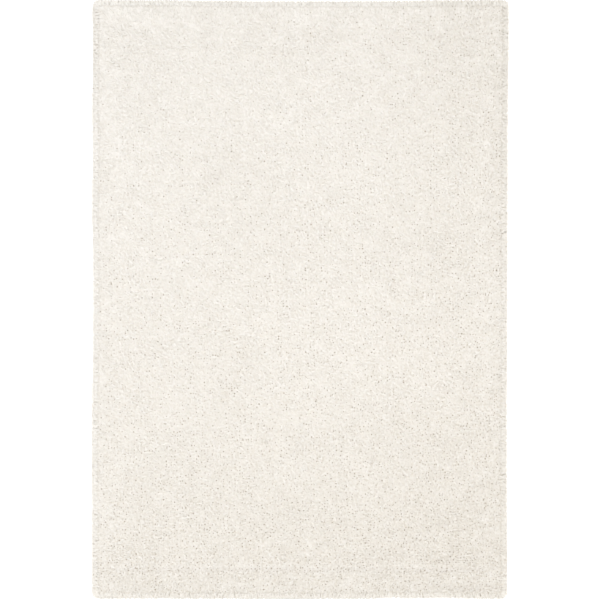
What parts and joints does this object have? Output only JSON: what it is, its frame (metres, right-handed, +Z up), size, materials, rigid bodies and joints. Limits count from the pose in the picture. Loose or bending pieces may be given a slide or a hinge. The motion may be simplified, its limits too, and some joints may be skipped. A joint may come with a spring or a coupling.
{
  "type": "shag rug",
  "caption": "Rectangular cream rug with a long shaggy pile; lies flat on a floor, and its outermost pile falls over the edge to the floor.",
  "frame": {"origin": "centre of the flat underside, on the floor", "axes": "+X across the rug's width, +Y along its length from the near end to the far end, +Z up from the floor"},
  "size_m": [1.6, 2.31, 0.042],
  "materials": {
    "pile": "cream shaggy yarn, soft satin lustre"
  },
  "bodies": {
    "root": {"shag_rug": "pile"}
  },
  "joints": []
}
